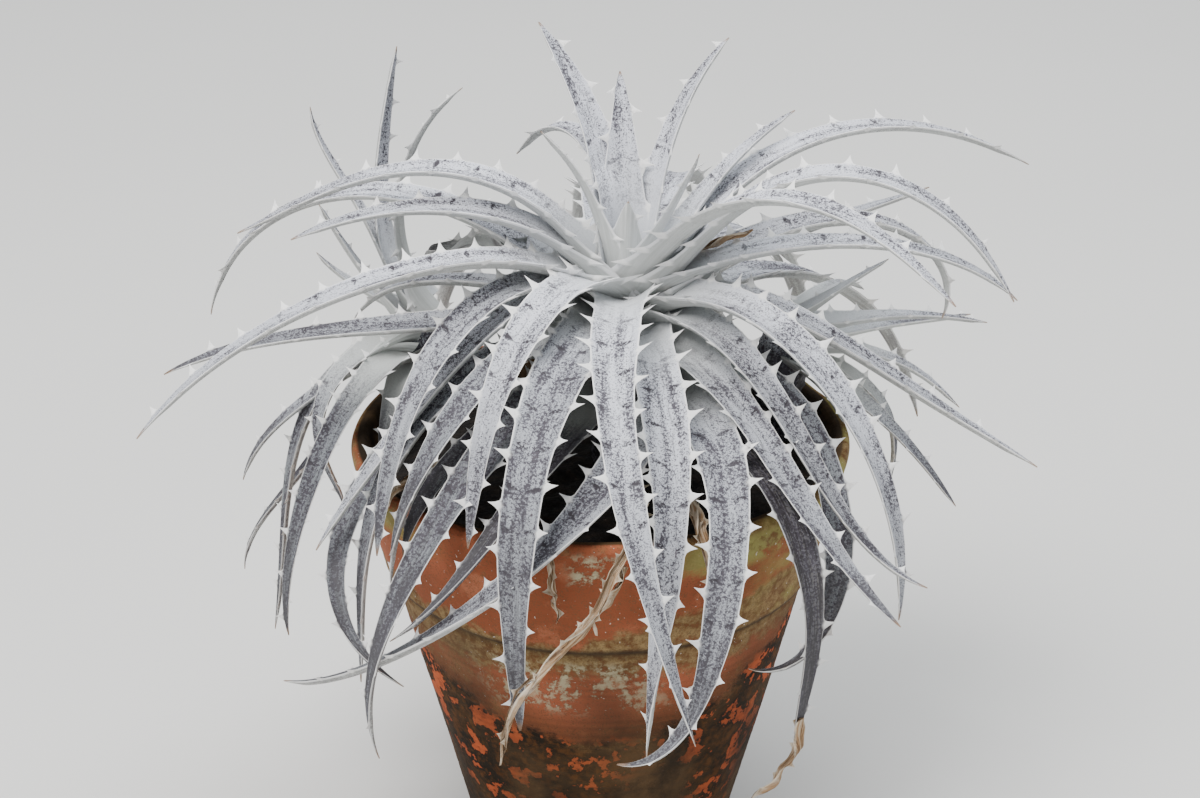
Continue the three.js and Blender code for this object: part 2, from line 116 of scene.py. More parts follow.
LEFT_OFFSET_LEAVES = {
    "left_1": (-117, 0, 0, 216, 115, 39, 84, 98, 102, 13, 0.05),
    "left_2": (89, 0, 0, 215, 108, 134, 96, 68, 33, 13, 0.05),
    "left_3": (-104, 0, 0, 213, 96, 54, 65, 59, 87, 10, 0.05),
    "left_4": (-86, 0, 0, 204, 69, 69, 56, 60, 59, 10, 0.1),
    "left_5": (-107, 0, 0, 208, 50, 59, 26, 29, 44, 9, 0.1),
    "left_6": (-60, 0, 0, 207, 102, -6, -38, -97, -102, 12, 0.35),
    "left_7": (-76, 0, 0, 206, 95, -27, -29, -40, -79, 12, 0.35),
    "left_8": (-71, 0, 0, 200, 152, 19, -60, -83, -82, 13, 0.5),
    "left_9": (-36, 0, 0, 199, 143, 24, -38, -62, -102, 13, 0.5),
    "left_10": (-82, 0, 0, 205, 129, -13, -61, -50, -94, 12, 0.6),
    "left_11": (-25, 0, 0, 198, 50, 8, -36, -60, -70, 9, 0.4),
}
RIGHT_OFFSET_LEAVES = {
    "right_1": (90, 0, 0, 214, 48, 38, 38, 34, 30, 7, 0.05),
    "right_2": (92, 0, 0, 209, 80, 20, 8, -3, -13, 12, 0.1),
    "right_3": (106, 0, 0, 202, 76, 18, 6, 0, 2, 11, 0.1),
    "right_4": (72, 0, 0, 203, 74, 18, 0, -26, -46, 11, 0.15),
    "right_5": (40, 0, 0, 200, 36, 0, -20, -40, -60, 9, 0.3),
    "right_6": (58, 0, 0, 198, 88, -5, -25, -40, -50, 11, 0.35),
    "right_7": (74, 0, 0, 195, 82, 16, -34, -84, -100, 10, 0.4),
    "right_8": (140, 0, 0, 206, 60, 50, 20, -14, -40, 10, 0.2),
}
# Dead leaves: x and y of the root, then heading, turn, curl, root height, length
# and four slopes. Each is two strands of these widths.
DEAD_LEAVES = {
    "dead_leaf_right": (26, -68, 26, 0, -130, 183, 98, 18, -36, -92, -20),
    "dead_leaf_front": (3, -61, 52, -247, 150, 186, 149, 60, -42, -44, -95),
    "dead_leaf_left": (-54, -46, -57, 0, 0, 186, 38, 3, 0, -24, -60),
}
STRAND_WIDTHS = (7, 3)

# Dry shreds: the leaf each hangs from and its share there, then heading, turn,
# length, four slopes and width.
SHREDS = {
    "dry_tip": ("leaf_front_6", 0.9, -75, 20, 42, -92, -74, -30, -30, 5),
    "dry_shred_left": ("leaf_front_4", 0.41, -20, 30, 28, -72, -88, -84, -92, 4),
    "dry_strip": ("leaf_right_high_1", 0.05, 84, 0, 44, 52, 34, 22, 20, 6),
    "dry_curl": ("leaf_left_4", 0.2, -90, -10, 46, 14, 4, -16, -70, 10),
    "dry_shred_front": ("dead_leaf_front", 0.38, -70, 10, 30, -72, -64, -62, -76, 3),
}
SHRED_DROP = 3  # how far a shred's root lies below the middle line of its leaf

# Width at the root over the width past the sheath: leaves of the main rosette, of
# the offsets, and dry ones, which are also crumpled, from 0 to 1.
MAIN_SHEATH = 1.25
OFFSET_SHEATH = 1.3
DRY_SHEATH = 0.8
DRY_CRUMPLE = 0.6

# First random seed of each group of leaves.
SEEDS = {"main": 100, "heart": 200, "left": 380, "right": 400, "dead": 400, "shred": 500}

# Teeth: spacing and its growth along the leaf, length, half width at the foot, lean
# of the point back to the stem, and rise above the blade for each mm of length, all
# for a leaf as wide as FULL_WIDTH.
TOOTH_SPACING = 15.5
TOOTH_GROWTH = 0.8
TOOTH_LENGTH = 6.4
TOOTH_ROOT = 3.3
TOOTH_LEAN = 1.3
TOOTH_RISE = 0.5
FULL_WIDTH = 20
DRY_TOOTH_SIZE = 0.8
FIRST_TOOTH = 8  # from the root
LAST_TOOTH = 0.955  # share of the length
TOOTH_PHASES = (0.3, 0.8)  # left and right margins, as shares of the spacing
TOOTH_STEPS = np.array([-3.2, -1.8, -0.9, -0.35, 0, 0.35, 0.9, 1.8, 3.2])

# The blade: length of the sheath, step between stations, share of the length where
# the tip closes, half width over the table's width, and the margins' beads.
SHEATH = 34
STATION_STEP = 3.2
TIP = 0.996
HALF_WIDTH = 0.56
BEAD_HEIGHT = 0.3
BEAD_PLACE = 0.93
BEAD_SPREAD = 0.045

# How far a leaf twists, by its tip, and sways to the side, and how far a fully
# crumpled one twists to and fro and kinks.
LEAF_TWIST = 7
LEAF_SWAY = 0.9
DRY_TWIST = 90
DRY_KINK = 7

# ---- the pot and its soil, in millimetres ------------------------------------------

# Heights of the lip and of the rim's foot; outer radii at the lip, at the foot, and
# just below and just above the step at the rim's foot.
POT_HEIGHT = 178
RIM_FOOT = 125
POT_TOP = 100
POT_FOOT = 52.5
BODY_TOP = 84.4
RIM_LOW = 86.9
# Thickness of the wall at the lip and of the floor, how much wider the rim gets for
# each mm of height, and radius of the drain hole.
WALL = 7.5
POT_FLOOR = 10
RIM_SLOPE = 0.247
DRAIN_HOLE = 9
POT_PROFILE = [
    (DRAIN_HOLE, 0), (POT_FOOT - 1.6, 0), (POT_FOOT, 1.6),
    (BODY_TOP - 1.4, RIM_FOOT - 5), (BODY_TOP - 0.4, RIM_FOOT),
    (RIM_LOW - 1, RIM_FOOT), (RIM_LOW + 0.2, RIM_FOOT + 2),
    (POT_TOP - 0.4, POT_HEIGHT - 3), (POT_TOP - 1.6, POT_HEIGHT),
    (POT_TOP - WALL + 1.5, POT_HEIGHT), (POT_TOP - WALL, POT_HEIGHT - 2.5),
    (RIM_LOW - 7.3, RIM_FOOT), (POT_FOOT - 4.5, POT_FLOOR + 1.5),
    (POT_FOOT - 10, POT_FLOOR), (DRAIN_HOLE, POT_FLOOR),
]
POT_SIDES = 288
THROWING_LINES = 0.12
POT_UNEVENNESS = 0.35
LIP_CHIPS = 7

SOIL_MIDDLE = 167
SOIL_FALL = 4
SOIL_TOP = 170
SOIL_BASE = 150
SOIL_RADIUS = 91.2
SOIL_RINGS, SOIL_SIDES = 70, 220
SOIL_CLODS = ((14, 1.1), (6, 0.8), (2.6, 0.5))  # size and depth

# ---- meshes -------------------------------------------------------------------


def smooth(x):
    """0 below 0, 1 above 1, and 3x^2 - 2x^3 between."""
    x = np.clip(x, 0, 1)
    return x * x * (3 - 2 * x)


def in_a_row(grid, ends):
    """A grid's triples as one list, followed, where the skin has ends, by the means
    of its first and last ring."""
    row = grid.reshape(-1, 3)
    return np.vstack([row, grid[0].mean(0), grid[-1].mean(0)]) if ends else row


def mesh_piece(name, points, attributes=None, loop=False, sharp=50):
    """A closed skin over a grid of points (stations, ring places, xyz) in mm.
    Neighbouring stations are joined by quads round the ring. In a loop the last
    station joins the first, and otherwise each end closes in a fan on the middle of
    its last ring. Faces are turned to point outwards."""
    stations, ring = points.shape[:2]
    grid = np.arange(stations * ring).reshape(stations, ring)
    after = np.roll(grid, -1, axis=1)
    bands = np.stack([grid, after, np.roll(after, -1, axis=0), np.roll(grid, -1, axis=0)], -1)
    quads = (bands if loop else bands[:-1]).reshape(-1, 4)
    vertices = in_a_row(points, not loop)
    triangles = np.empty((0, 3), int)
    if not loop:
        first_tip, last_tip = np.full((2, ring), [[stations * ring], [stations * ring + 1]])
        triangles = np.vstack([
            np.stack([after[0], grid[0], first_tip], -1),
            np.stack([grid[-1], after[-1], last_tip], -1),
        ])
    a, b, c, d = (vertices[quads[:, k]] for k in range(4))
    volume = (np.cross(b - a, c - a) * a).sum() + (np.cross(c - a, d - a) * a).sum()
    if volume < 0:
        quads = quads[:, ::-1]
        triangles = triangles[:, ::-1]
    values = {key: in_a_row(value, not loop) for key, value in (attributes or {}).items()}
    return {"name": name, "vertices": vertices, "quads": quads,
            "triangles": triangles, "values": values, "sharp": sharp}


def joined(name, skins):
    """Several skins as one, their face numbers shifted past each other's points."""
    vertices, quads, triangles, start = [], [], [], 0
    for skin in skins:
        vertices.append(skin["vertices"])
        quads.append(skin["quads"] + start)
        triangles.append(skin["triangles"] + start)
        start += len(skin["vertices"])
    values = {
        key: np.vstack([skin["values"][key] for skin in skins])
        for key in skins[0]["values"]
    }
    return {"name": name, "vertices": np.vstack(vertices), "quads": np.vstack(quads),
            "triangles": np.vstack(triangles), "values": values,
            "sharp": skins[0]["sharp"]}


def add_piece(skin, material, nodes=()):
    """The skin as an object at the origin that rides on the body, in the place of
    the nodes that are named."""
    mesh = bpy.data.meshes.new(skin["name"])
    quads, triangles = skin["quads"], skin["triangles"]
    corners = np.concatenate([quads.ravel(), triangles.ravel()]).astype(np.int32)
    sizes = np.concatenate([np.full(len(quads), 4), np.full(len(triangles), 3)])
    starts = np.concatenate([[0], np.cumsum(sizes)[:-1]]).astype(np.int32)
    mesh.vertices.add(len(skin["vertices"]))
    mesh.vertices.foreach_set("co", (skin["vertices"] * MM).astype(np.float32).ravel())
    mesh.loops.add(len(corners))
    mesh.loops.foreach_set("vertex_index", corners)
    mesh.polygons.add(len(sizes))
    mesh.polygons.foreach_set("loop_start", starts)
    mesh.polygons.foreach_set("use_smooth", np.ones(len(sizes), bool))
    mesh.update(calc_edges=True)
    mesh.set_sharp_from_angle(angle=math.radians(skin["sharp"]))
    for key, value in skin["values"].items():
        layer = mesh.attributes.new(key, "FLOAT_VECTOR", "POINT")
        layer.data.foreach_set("vector", value.astype(np.float32).ravel())
    mesh.validate()
    mesh.materials.append(material)
    piece = bpy.data.objects.new(skin["name"], mesh)
    scene.collection.objects.link(piece)
    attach(piece, "root")
    if nodes:
        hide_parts(*nodes)


# ---- leaves -------------------------------------------------------------------


def leaf_from(row, rosette):
    """A table row as a leaf whose root stands on the rosette's flaring stem. Narrow
    leaves have smaller teeth: their size is (width / FULL_WIDTH)^0.7, at most 1."""
    heading, turn, curl, root, length, a, b, c, d, width, age = row
    x, y, top, radius, _, _ = ROSETTES[rosette]
    away = radius + (top - root) * STEM_FLARE
    turned = math.radians(heading)
    place = np.array([x + away * math.sin(turned), y - away * math.cos(turned), root])
    return {"heading": heading, "turn": turn, "curl": curl, "length": length,
            "slopes": (a, b, c, d), "width": width, "age": age, "root": place,
            "size": min(width / FULL_WIDTH, 1) ** 0.7}


def dead_leaf_from(row, width):
    """A strand of this width along a dead leaf's row, with a root of its own."""
    x, y, heading, turn, curl, root, length, a, b, c, d = row
    return {"heading": heading, "turn": turn, "curl": curl, "length": length,
            "slopes": (a, b, c, d), "width": width, "age": 1.0, "size": DRY_TOOTH_SIZE,
            "root": np.array([x, y, root], float)}


def shred_from(row):
    """A shred's row, rooted just below the middle line of the leaf that carries it."""
    carrier, share, heading, turn, length, a, b, c, d, width = row
    if carrier in LEAVES:
        leaf = leaf_from(LEAVES[carrier], "main")
    else:
        leaf = dead_leaf_from(DEAD_LEAVES[carrier], STRAND_WIDTHS[0])
    x, y, z = leaf_line(leaf, np.array([share]))[0] - (0, 0, SHRED_DROP)
    return dead_leaf_from((x, y, heading, turn, 0, z, length, a, b, c, d), width)


def leaf_frames(leaf, s):
    """At shares s of the length: the way along, across to the right, and up out of
    the upper face. Bearing is heading + turn s + curl s^3, and slope is the cubic
    through the four slopes."""
    t = 3 * s
    a, b, c, d = leaf["slopes"]
    slope = np.radians(
        a * (1 - t) * (2 - t) * (3 - t) / 6 + b * t * (2 - t) * (3 - t) / 2
        - c * t * (1 - t) * (3 - t) / 2 + d * t * (1 - t) * (2 - t) / 6
    )
    bearing = np.radians(leaf["heading"] + leaf["turn"] * s + leaf["curl"] * s**3)
    flat = np.cos(slope)
    along = np.stack([flat * np.sin(bearing), -flat * np.cos(bearing), np.sin(slope)], -1)
    across = np.stack([np.cos(bearing), np.sin(bearing), 0 * bearing], -1)
    return along, across, np.cross(along, across)


def leaf_line(leaf, s):
    """Points of the middle line at shares s, summed along the slope and bearing."""
    steps = 96
    middle, _, _ = leaf_frames(leaf, (np.arange(steps) + 0.5) / steps)
    walked = np.cumsum(middle * leaf["length"] / steps, axis=0)
    points = leaf["root"] + np.vstack([np.zeros(3), walked])
    place = np.clip(s, 0, 1) * steps
    return np.stack(
        [np.interp(place, np.arange(steps + 1), points[:, k]) for k in range(3)], -1
    )


def tooth_places(leaf, phase, rng):
    """Shares of the length where the teeth of one margin stand, their heights and
    how far each leans back. Their spacing grows along the leaf: with growth g, the
    shares are u (1 + g u) / (1 + g) for even u, scattered by 0.8 mm. The first ones
    and those towards the tip are lower."""
    size, length = leaf["size"], leaf["length"]
    spacing = TOOTH_SPACING * (0.45 + 0.55 * size)
    count = int(length // spacing) + 1
    u = ((np.arange(count) + phase) * spacing + rng.normal(0, 0.8, count)) / length
    place = u * (1 + TOOTH_GROWTH * u) / (1 + TOOTH_GROWTH)
    height = TOOTH_LENGTH * size * (1 - 0.4 * place) * rng.uniform(0.8, 1.12, count)
    early = smooth((place * length - 4) / 16)
    keep = (place * length > FIRST_TOOTH) & (place < LAST_TOOTH)
    leans = rng.normal(0.7, 0.7, count)
    return place[keep], (height * (0.3 + 0.7 * early))[keep], leans[keep]


def cusps(leaf, s, place, height, leans):
    """How far the margin stands out at shares s, and how far it leans back there:
    at each tooth a cusp, height times (1 - distance / root) to the power 2.7. A
    short shred may have no tooth at all."""
    if not len(place):
        return 0 * s, 0 * s
    reach = np.abs(s[:, None] - place[None]) * leaf["length"] / (TOOTH_ROOT * leaf["size"])
    stand = height * np.clip(1 - reach, 0, 1) ** 2.7
    return stand.max(1), leans[reach.argmin(1)]


def leaf_stations(leaf, teeth):
    """Shares of the length: even ones as far as the tip, and closer ones round each
    tooth."""
    length = leaf["length"]
    near = TOOTH_STEPS * leaf["size"] / length
    even = np.linspace(0, TIP, max(12, int(length / STATION_STEP)))
    s = np.concatenate([even, (teeth[:, None] + near[None]).ravel()])
    return np.unique(np.clip(s, 0, TIP).round(5))


# Places round the section, from -1 at the left margin to 1 at the right, over the
# upper face and back along the lower one; how far each lies from the middle, its
# side, and the share of a tooth's height that it moves out by.
ACROSS = np.array([0, 0.28, 0.55, 0.76, 0.88, 0.95, 1.0])
UPPER = np.concatenate([-ACROSS[::-1], ACROSS[1:]])
RING = np.concatenate([UPPER, UPPER[-2:0:-1]])
UNDER = np.concatenate([np.zeros(len(UPPER)), np.ones(len(UPPER) - 2)])
EDGE = np.abs(RING)
SIDE = np.sign(RING)
DRAWN = np.interp(EDGE, ACROSS[3:], [0, 0.14, 0.5, 1])


def crumpled(x, z, walked, crumple, sway):
    """The section of a dry leaf: its margins roll in by the square of a, it narrows
    and widens along its length, and small folds run over it, all as sines."""
    x = x * (1 - 0.55 * crumple * EDGE**2)
    x = x * (1 - 0.4 * crumple * (1 + np.sin(walked / 12 + sway[0]))[:, None] / 2)
    x = x * (1 + 0.25 * crumple * np.sin(walked / 5 + sway[2]))[:, None]
    folds = np.sin(RING * 7 + 3 * np.sin(walked / 9)[:, None] + sway[1])
    return x, z + crumple * 0.7 * folds


def leaf_course(leaf, s, twist, crumple, sway):
    """The leaf's line and frames with its own twist, which grows with s, and a slow
    sway to the side. Crumple adds a twist to and fro and sharp kinks, a triangle
    wave 52 mm long."""
    walked = s * leaf["length"]
    points = leaf_line(leaf, s)
    along, across, up = leaf_frames(leaf, s)
    turn = np.radians(twist * s + DRY_TWIST * crumple * np.sin(s * 11 + sway[3]))
    level, tipped = np.cos(turn)[:, None], np.sin(turn)[:, None]
    across, up = across * level + up * tipped, up * level - across * tipped
    drift = LEAF_SWAY * smooth(s * 2) * np.sin(walked / 31 + sway[1])
    kinks = np.abs((walked / 26 + sway[2]) % 2 - 1) - 0.5
    drift = drift + DRY_KINK * crumple * smooth(s * 3) * kinks
    return points + across * drift[:, None], along, across, up


def leaf_skin(name, leaf, seed, sheath_share, crumple=0.0):
    """A leaf as a skin over stations along it and places a round its section. Half
    its width starts as the sheath's share and falls to the tip as (1 - s)^0.7. The
    upper face is a channel, rise |a|^1.8, and the lower face lies below it by
    keel (1 - |a|^2.4)^0.8. Each tooth draws the margin out into a cusp that rises
    above the blade and leans back to the stem, and a low bead runs along both
    margins. Crumple, from 0 to 1, is that of a dry leaf.

    Its attributes: blade is mm from the root, mm across and |a|; finish is age, 1 on
    the lower face and the share of a tooth; growth is s and a number of its own."""
    rng = np.random.default_rng(seed)
    size = leaf["size"]
    margins = [tooth_places(leaf, phase, rng) for phase in TOOTH_PHASES]
    s = leaf_stations(leaf, np.concatenate([place for place, _, _ in margins]))
    walked = s * leaf["length"]
    reach = smooth(walked / SHEATH)
    half = HALF_WIDTH * leaf["width"] * (sheath_share + (1 - sheath_share) * reach)
    half = half * (1 - s) ** 0.7 + 0.12 * (1 - s)
    keel = (0.9 + 0.26 * half) * np.clip((1 - s) * 12, 0.12, 1)
    (stand_left, lean_left), (stand_right, lean_right) = [
        cusps(leaf, s, *margin) for margin in margins
    ]
    stand = np.where(SIDE < 0, stand_left[:, None], stand_right[:, None]) * DRAWN
    lean = np.where(SIDE < 0, lean_left[:, None], lean_right[:, None])
    lean = TOOTH_LEAN * size * lean * stand / TOOTH_LENGTH
    sway = [rng.uniform(0, 2 * np.pi) for _ in range(4)]
    wave = 1 + 0.05 * np.sin(walked / 11 + sway[0]) * smooth(s * 5)
    x = RING * (half * wave)[:, None] + SIDE * stand
    channel = 0.2 + 0.45 * (1 - reach) + 0.9 * crumple
    bead = BEAD_HEIGHT * size * np.exp(-(((EDGE - BEAD_PLACE) / BEAD_SPREAD) ** 2))
    top = channel[:, None] * half[:, None] * EDGE**1.8 + TOOTH_RISE * stand
    top += bead * reach[:, None] ** 0.5
    depth = keel[:, None] * np.clip(1 - EDGE**2.4, 0, 1) ** 0.8
    x, z = crumpled(x, top - UNDER * (depth + bead), walked, crumple, sway)
    twist = rng.normal(0, LEAF_TWIST)
    points, along, across, up = leaf_course(leaf, s, twist, crumple, sway)
    spread = (
        points[:, None] + across[:, None] * x[..., None] + up[:, None] * z[..., None]
        - along[:, None] * lean[..., None]
    )
    ones = np.ones_like(x)
    tooth = np.clip(stand / (TOOTH_LENGTH * size), 0, 1)
    values = {
        "blade": np.stack([ones * walked[:, None], x, ones * EDGE], -1),
        "finish": np.stack([ones * leaf["age"], ones * UNDER, tooth], -1),
        "growth": np.stack([ones * s[:, None], ones * rng.uniform(0, 1), ones], -1),
    }
    return mesh_piece(name, spread, values)


def stem_skin(name, rosette):
    """A stem: a rounded top, a flare down to the lowest leaf, then a narrowing to
    its foot in the soil, ridged by the scars of old leaves. It has a leaf's
    attributes, and its age goes from 0 at the top to 1 a little lower."""
    x, y, top, radius, low, foot = ROSETTES[rosette]
    z = np.linspace(STEM_ROOT, top + 1, STEM_STATIONS)
    wide = radius + (top - z) * STEM_FLARE + 1
    widest = radius + (top - low) * STEM_FLARE + 1
    narrow = foot + (widest - foot) * smooth((z - SOIL_TOP) / (low - SOIL_TOP))
    r = np.where(z > low, wide, narrow) * np.sqrt(np.clip((top + 1.2 - z) / 4, 0, 1))
    angle = np.linspace(0, 2 * np.pi, STEM_SIDES, endpoint=False)
    a, rr = np.meshgrid(angle, r)
    zz = np.repeat(z[:, None], STEM_SIDES, 1)
    rr = rr * (1 + 0.06 * np.sin(zz * 1.1 + 2 * np.sin(3 * a)) * np.sin(5 * a + zz * 0.3))
    points = np.stack([x + rr * np.cos(a), y + rr * np.sin(a), zz], -1)
    ones = np.ones_like(a)
    values = {
        "blade": np.stack([zz, a * 3, ones * 0.3], -1),
        "finish": np.stack([smooth((top - zz) / 25), ones * 0, ones * 0], -1),
        "growth": np.stack([ones * 0.1, ones * 0.4, ones], -1),
    }
    return mesh_piece(name, points, values)


# ---- pot and soil ----------------------------------------------------------------


def rounded_profile(profile, step=1.6, curve=1.2):
    """The profile as evenly spaced points, each corner replaced by the quadratic
    curve between the points that lie curve mm from it on both sides."""
    corners = np.array(profile, float)
    out = []
    count = len(corners)
    for i in range(count):
        before, here, after = corners[i - 1], corners[i], corners[(i + 1) % count]
        back, ahead = before - here, after - here
        trim = min(curve, np.linalg.norm(back) / 2.5, np.linalg.norm(ahead) / 2.5)
        start = here + back / np.linalg.norm(back) * trim
        end = here + ahead / np.linalg.norm(ahead) * trim
        t = np.linspace(0, 1, 5)[:, None]
        out.append((1 - t) ** 2 * start + 2 * t * (1 - t) * here + t**2 * end)
        stop = after - ahead / np.linalg.norm(ahead) * trim
        pieces = int(np.linalg.norm(stop - end) // step)
        if pieces > 1:
            t = (np.arange(1, pieces) / pieces)[:, None]
            out.append(end + (stop - end) * t)
    return np.vstack(out)


def ripple(angle, height, seed, terms=9):
    """Soft unevenness: a sum of sines of whole turns and of the height."""
    rng = np.random.default_rng(seed)
    total = 0 * angle
    for _ in range(terms):
        turns = rng.integers(1, 9)
        total = total + np.sin(turns * angle + rng.uniform(-0.06, 0.06) * height
                               + rng.uniform(0, ANY_PHASE)) / terms**0.5
    return total


def pot_skin():
    """The profile turned round the axis. Away from the drain hole it has slow
    unevenness and throwing lines as sines of the height, and a few chips are out of
    the lip, each as deep as a bell curve of the way round."""
    profile = rounded_profile(POT_PROFILE)
    angle = np.linspace(0, 2 * np.pi, POT_SIDES, endpoint=False)
    a, r = np.meshgrid(angle, profile[:, 0])
    z = np.repeat(profile[:, 1][:, None], POT_SIDES, 1)
    outer = np.repeat(smooth((profile[:, 0] - 15) / 20)[:, None], POT_SIDES, 1)
    lines = THROWING_LINES * np.sin(z * 1.9 + 0.4 * np.sin(2 * a)) * np.sin(z * 0.37 + 1)
    r = r + outer * (POT_UNEVENNESS * ripple(a, z, 4) + lines)
    rng = np.random.default_rng(11)
    for _ in range(LIP_CHIPS):
        where, deep, wide = rng.uniform(0, ANY_PHASE), rng.uniform(0.5, 1.6), rng.uniform(2, 6)
        apart = np.abs((a - where + np.pi) % (2 * np.pi) - np.pi) * POT_TOP
        lip = smooth((z - POT_HEIGHT + 4) / 4) * smooth((r - POT_TOP + 5) / 4)
        z = z - deep * lip * np.exp(-((apart / wide) ** 2))
    points = np.stack([r * np.cos(a), r * np.sin(a), z], -1)
    return mesh_piece("clay_pot", points, loop=True, sharp=35)


def soil_skin():
    """A round heap: a disc whose height falls between 55 and 90 mm from the middle,
    with clods as a sum of sines in x and y, closed by a flat underside."""
    r = np.linspace(0.6, SOIL_RADIUS, SOIL_RINGS)
    angle = np.linspace(0, 2 * np.pi, SOIL_SIDES, endpoint=False)
    rr, a = np.meshgrid(r, angle, indexing="ij")
    x, y = rr * np.cos(a), rr * np.sin(a)
    z = SOIL_MIDDLE - SOIL_FALL * smooth((rr - 55) / 35)
    rng = np.random.default_rng(21)
    for size, deep in SOIL_CLODS:
        for _ in range(5):
            turn, phase = rng.uniform(0, ANY_PHASE), rng.uniform(0, ANY_PHASE, 2)
            u = (x * math.cos(turn) + y * math.sin(turn)) / size
            v = (y * math.cos(turn) - x * math.sin(turn)) / size
            z = z + deep / 2.2 * np.sin(u + phase[0]) * np.sin(v + phase[1])
    top = np.stack([x, y, np.minimum(z, SOIL_TOP)], -1)
    base = top[::-1].copy()
    base[..., 2] = SOIL_BASE
    return mesh_piece("soil_heap", np.vstack([top, base]), sharp=60)


# ---- shader maths --------------------------------------------------------------


class Wire:
    """A socket that a surface value or colour comes out of, with Python's
    operators on numbers."""

    def __init__(self, paint, socket):
        self.paint = paint
        self.socket = socket

    def maths(self, operation, *values, clamp=False):
        return self.paint.node(
            "Math", {"operation": operation, "use_clamp": clamp}, dict(enumerate(values))
        )

    def __add__(self, other):
        return self.maths("ADD", self, other)

    def __radd__(self, other):
        return self.maths("ADD", other, self)

    def __sub__(self, other):
        return self.maths("SUBTRACT", self, other)

    def __rsub__(self, other):
        return self.maths("SUBTRACT", other, self)

    def __mul__(self, other):
        return self.maths("MULTIPLY", self, other)

    def __rmul__(self, other):
        return self.maths("MULTIPLY", other, self)

    def __truediv__(self, other):
        return self.maths("DIVIDE", self, other)

    def __pow__(self, other):
        return self.maths("POWER", self, other)

    def __abs__(self):
        return self.maths("ABSOLUTE", self)

    def most(self, other):
        """The larger of the two."""
        return self.maths("MAXIMUM", self, other)

    def least(self, other):
        """The smaller of the two."""
        return self.maths("MINIMUM", self, other)

    def clip(self):
        """Held between 0 and 1."""
        return self.maths("ADD", self, 0.0, clamp=True)

    def fraction(self):
        """What is left above the whole number below."""
        return self.maths("FRACT", self)

    def step(self, low, high):
        """0 below low, 1 above high and smooth between; low may be above high."""
        return self.paint.node(
            "MapRange", {"interpolation_type": "SMOOTHSTEP"},
            {0: self, 1: low, 2: high, 3: 0.0, 4: 1.0},
        )


class Paint:
    """The nodes of one material."""

    def __init__(self, name):
        self.material = bpy.data.materials.new(name)
        self.material.use_nodes = True
        self.tree = self.material.node_tree
        self.tree.nodes.clear()
        self.place = self.node("TexCoord", out="Object")

    def node(self, kind, settings=None, values=None, out=0):
        """A node of any kind: its settings first, then its sockets' values or wires."""
        made = self.tree.nodes.new("ShaderNode" + kind)
        for key, value in (settings or {}).items():
            setattr(made, key, value)
        for key, value in (values or {}).items():
            if isinstance(value, Wire):
                self.tree.links.new(value.socket, made.inputs[key])
            else:
                made.inputs[key].default_value = value
        return Wire(self, made.outputs[out]) if made.outputs else None

    def noise(self, scale, detail=3.0, rough=0.55, at=None, distort=0.0):
        """Noise from 0 to 1 with features about 1 / scale metres across."""
        return self.node(
            "TexNoise", None,
            {"Vector": at or self.place, "Scale": scale, "Detail": detail,
             "Roughness": rough, "Distortion": distort},
        )

    def drawn_noise(self, place, scales, detail, rough):
        """Noise with a scale of its own along each of the three numbers of place."""
        at = [value * scale for value, scale in zip(place, scales)]
        vector = self.node("CombineXYZ", None, dict(enumerate(at)))
        return self.noise(1.0, detail, rough, vector)

    def cells(self, scale):
        """Distance to the nearest of scattered points, about 1 / scale metres apart."""
        return self.node("TexVoronoi", None, {"Vector": self.place, "Scale": scale})

    def split(self, vector):
        """The three numbers of a vector."""
        return [self.node("SeparateXYZ", None, {0: vector}, out=k) for k in range(3)]

    def attribute(self, name):
        """The three numbers of one of the piece's own attributes."""
        return self.split(self.node("Attribute", {"attribute_name": name}, out="Vector"))

    def mix(self, low, high, share):
        """From the colour low to the colour high as share goes from 0 to 1."""
        return self.node(
            "Mix", {"data_type": "RGBA"}, {"Factor": share, 6: low, 7: high}, out=2
        )

    def finish(self, colour, roughness, height, reach, strength=1.0, specular=0.5):
        """A Principled surface with its bump, reach in metres."""
        bump = self.node(
            "Bump", None, {"Strength": strength, "Distance": reach, "Height": height}
        )
        shader = self.node(
            "BsdfPrincipled", None,
            {"Base Color": colour, "Roughness": roughness, "Normal": bump,
             "Specular IOR Level": specular},
        )
        self.node("OutputMaterial", None, {"Surface": shader})
        return self.material


def tint(red, green, blue):
    """A screen colour of 0 to 255 as the linear colour that nodes take."""
    share = np.array([red, green, blue]) / 255
    linear = np.where(share <= 0.04045, share / 12.92, ((share + 0.055) / 1.055) ** 2.4)
    return (*(float(v) for v in linear), 1.0)


# ---- finishes -------------------------------------------------------------------

FRESH_SILVER = tint(238, 240, 250)
# Worn silver, also used as painted shade along the leaf.
WORN_AND_SHADED_SILVER = tint(130, 135, 139)
OLD_SILVER = tint(98, 94, 91)
SHEATH_SILVER = tint(198, 201, 198)
CLOUD_GREY = tint(126, 127, 134)
DOT_GREY = tint(96, 94, 104)
FLECK_GREY = tint(70, 66, 74)
SCUFF_MAUVE = tint(88, 78, 86)
BARE_LEAF = tint(48, 44, 46)
# Painted shade on the hanging ends, partly their own darker tone.
HANGING_SHADE_GREY = tint(78, 77, 80)
PRINT_GREY = tint(64, 60, 66)
LOWER_PALE = tint(206, 208, 206)
LOWER_GREY = tint(190, 193, 190)
# Worn lower face, also darkened by the painted shade along the leaf.
LOWER_WORN_AND_SHADED = tint(112, 107, 108)
LOWER_FLECK = tint(84, 76, 80)
MARGIN_WHITE = tint(248, 247, 245)
TIP_BROWN = tint(150, 116, 84)


